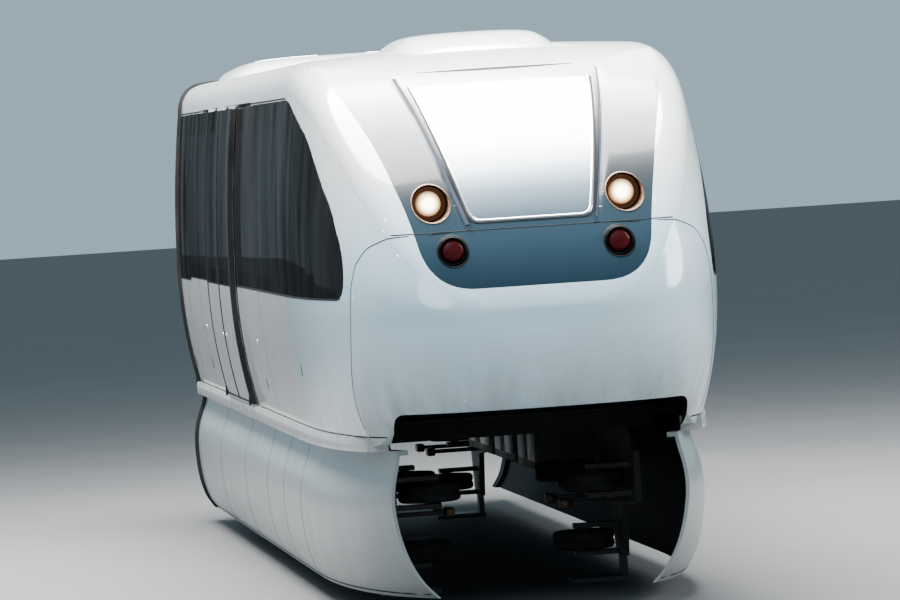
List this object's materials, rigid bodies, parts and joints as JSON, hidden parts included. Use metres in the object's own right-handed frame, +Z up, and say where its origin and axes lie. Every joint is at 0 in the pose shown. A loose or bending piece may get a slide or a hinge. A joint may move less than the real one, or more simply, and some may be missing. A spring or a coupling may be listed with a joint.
{
  "type": "monorail end car",
  "caption": "Straddle-beam monorail end car with rounded nose, dark glass bands, sliding side doors, beam skirts and swivelling bogies.",
  "frame": {"origin": "on the plane where the load tyres meet the beam, on the centreline, midway between the bogies", "axes": "+X to the nose, +Y to the car's left, +Z up"},
  "size_m": [12.127, 2.706, 3.63],
  "materials": {
    "white_paint": "high gloss white",
    "silver_paint": "metallic silver-grey, glossy",
    "band_glass": "dark tinted, glossy",
    "windshield_glass": "pale tinted, mirror-like",
    "black_rubber": "matt black",
    "tyre_rubber": "worn black",
    "bogie_steel": "dark grey, dusty",
    "floor_frame": "satin",
    "dark_panel": "satin black",
    "seat_shell": "satin",
    "headlamp_glass": "clear lens over a bright reflector",
    "tail_lamp_lens": "dark red lens"
  },
  "bodies": {
    "car_body": {"underframe": "floor_frame", "roof_shell": "white_paint", "roof_fairing_rear": "white_paint", "roof_fairing_front": "white_paint", "nose_shell": "white_paint", "nose_lower_panel": "white_paint", "mask_panel": "silver_paint", "windshield": "windshield_glass", "rear_bulkhead": "dark_panel", "rear_window": "band_glass", "end_band": "black_rubber", "headlamp_left": "headlamp_glass", "tail_lamp_left": "tail_lamp_lens", "skirt_left_rear": "white_paint", "side_wall_left_rear": "white_paint", "glass_band_left_rear": "band_glass", "skirt_left_front": "white_paint", "side_wall_left_front": "white_paint", "glass_band_left_front": "band_glass", "headlamp_right": "headlamp_glass", "tail_lamp_right": "tail_lamp_lens", "skirt_right_rear": "white_paint", "side_wall_right_rear": "white_paint", "glass_band_right_rear": "band_glass", "skirt_right_front": "white_paint", "side_wall_right_front": "white_paint", "glass_band_right_front": "band_glass", "seat_block_rear": "seat_shell", "seat_block_front": "seat_shell"},
    "door_left_rear": {"door_leaf_left_rear": "white_paint", "door_glass_left_rear": "band_glass"},
    "door_left_front": {"door_leaf_left_front": "white_paint", "door_glass_left_front": "band_glass"},
    "door_right_rear": {"door_leaf_right_rear": "white_paint", "door_glass_right_rear": "band_glass"},
    "door_right_front": {"door_leaf_right_front": "white_paint", "door_glass_right_front": "band_glass"},
    "bogie_rear": {"bogie_frame_rear": "bogie_steel"},
    "load_wheelset_rear": {"load_tyre_rear": "tyre_rubber", "load_wheel_rear": "bogie_steel"},
    "guide_wheel_rear_left_a": {"guide_wheel_rear_left_a": "tyre_rubber"},
    "guide_wheel_rear_left_b": {"guide_wheel_rear_left_b": "tyre_rubber"},
    "stabiliser_wheel_rear_left": {"stabiliser_wheel_rear_left": "tyre_rubber"},
    "guide_wheel_rear_right_a": {"guide_wheel_rear_right_a": "tyre_rubber"},
    "guide_wheel_rear_right_b": {"guide_wheel_rear_right_b": "tyre_rubber"},
    "stabiliser_wheel_rear_right": {"stabiliser_wheel_rear_right": "tyre_rubber"},
    "bogie_front": {"bogie_frame_front": "bogie_steel"},
    "load_wheelset_front": {"load_tyre_front": "tyre_rubber", "load_wheel_front": "bogie_steel"},
    "guide_wheel_front_left_a": {"guide_wheel_front_left_a": "tyre_rubber"},
    "guide_wheel_front_left_b": {"guide_wheel_front_left_b": "tyre_rubber"},
    "stabiliser_wheel_front_left": {"stabiliser_wheel_front_left": "tyre_rubber"},
    "guide_wheel_front_right_a": {"guide_wheel_front_right_a": "tyre_rubber"},
    "guide_wheel_front_right_b": {"guide_wheel_front_right_b": "tyre_rubber"},
    "stabiliser_wheel_front_right": {"stabiliser_wheel_front_right": "tyre_rubber"}
  },
  "joints": [
    {"name": "door_left_rear_slide", "type": "slide", "parent": "car_body", "child": "door_left_rear", "axis": [-1, 0, 0], "range_m": [0, 1]},
    {"name": "door_left_front_slide", "type": "slide", "parent": "car_body", "child": "door_left_front", "axis": [1, 0, 0], "range_m": [0, 1]},
    {"name": "door_right_rear_slide", "type": "slide", "parent": "car_body", "child": "door_right_rear", "axis": [-1, 0, 0], "range_m": [0, 1]},
    {"name": "door_right_front_slide", "type": "slide", "parent": "car_body", "child": "door_right_front", "axis": [1, 0, 0], "range_m": [0, 1]},
    {"name": "bogie_rear_swivel", "type": "hinge", "parent": "car_body", "child": "bogie_rear", "pos_m": [-3.8, 0, 0.13], "axis": [0, 0, 1], "range_deg": [-5, 5]},
    {"name": "load_wheelset_rear_spin", "type": "hinge", "parent": "bogie_rear", "child": "load_wheelset_rear", "pos_m": [-3.8, 0, 0.42], "axis": [0, 1, 0], "continuous": true},
    {"name": "guide_wheel_rear_left_a_spin", "type": "hinge", "parent": "bogie_rear", "child": "guide_wheel_rear_left_a", "pos_m": [-4.48, 0.53, -0.3], "axis": [0, 0, 1], "continuous": true},
    {"name": "guide_wheel_rear_left_b_spin", "type": "hinge", "parent": "bogie_rear", "child": "guide_wheel_rear_left_b", "pos_m": [-3.12, 0.53, -0.3], "axis": [0, 0, 1], "continuous": true},
    {"name": "stabiliser_wheel_rear_left_spin", "type": "hinge", "parent": "bogie_rear", "child": "stabiliser_wheel_rear_left", "pos_m": [-3.8, 0.53, -0.715], "axis": [0, 0, 1], "continuous": true},
    {"name": "guide_wheel_rear_right_a_spin", "type": "hinge", "parent": "bogie_rear", "child": "guide_wheel_rear_right_a", "pos_m": [-4.48, -0.53, -0.3], "axis": [0, 0, 1], "continuous": true},
    {"name": "guide_wheel_rear_right_b_spin", "type": "hinge", "parent": "bogie_rear", "child": "guide_wheel_rear_right_b", "pos_m": [-3.12, -0.53, -0.3], "axis": [0, 0, 1], "continuous": true},
    {"name": "stabiliser_wheel_rear_right_spin", "type": "hinge", "parent": "bogie_rear", "child": "stabiliser_wheel_rear_right", "pos_m": [-3.8, -0.53, -0.715], "axis": [0, 0, 1], "continuous": true},
    {"name": "bogie_front_swivel", "type": "hinge", "parent": "car_body", "child": "bogie_front", "pos_m": [3.8, 0, 0.13], "axis": [0, 0, 1], "range_deg": [-5, 5]},
    {"name": "load_wheelset_front_spin", "type": "hinge", "parent": "bogie_front", "child": "load_wheelset_front", "pos_m": [3.8, 0, 0.42], "axis": [0, 1, 0], "continuous": true},
    {"name": "guide_wheel_front_left_a_spin", "type": "hinge", "parent": "bogie_front", "child": "guide_wheel_front_left_a", "pos_m": [3.12, 0.53, -0.3], "axis": [0, 0, 1], "continuous": true},
    {"name": "guide_wheel_front_left_b_spin", "type": "hinge", "parent": "bogie_front", "child": "guide_wheel_front_left_b", "pos_m": [4.48, 0.53, -0.3], "axis": [0, 0, 1], "continuous": true},
    {"name": "stabiliser_wheel_front_left_spin", "type": "hinge", "parent": "bogie_front", "child": "stabiliser_wheel_front_left", "pos_m": [3.8, 0.53, -0.715], "axis": [0, 0, 1], "continuous": true},
    {"name": "guide_wheel_front_right_a_spin", "type": "hinge", "parent": "bogie_front", "child": "guide_wheel_front_right_a", "pos_m": [3.12, -0.53, -0.3], "axis": [0, 0, 1], "continuous": true},
    {"name": "guide_wheel_front_right_b_spin", "type": "hinge", "parent": "bogie_front", "child": "guide_wheel_front_right_b", "pos_m": [4.48, -0.53, -0.3], "axis": [0, 0, 1], "continuous": true},
    {"name": "stabiliser_wheel_front_right_spin", "type": "hinge", "parent": "bogie_front", "child": "stabiliser_wheel_front_right", "pos_m": [3.8, -0.53, -0.715], "axis": [0, 0, 1], "continuous": true}
  ],
  "couplings": [
    {"joint": "door_left_rear_slide", "follows": "door_left_front_slide", "ratio": 1},
    {"joint": "door_right_rear_slide", "follows": "door_right_front_slide", "ratio": 1}
  ]
}
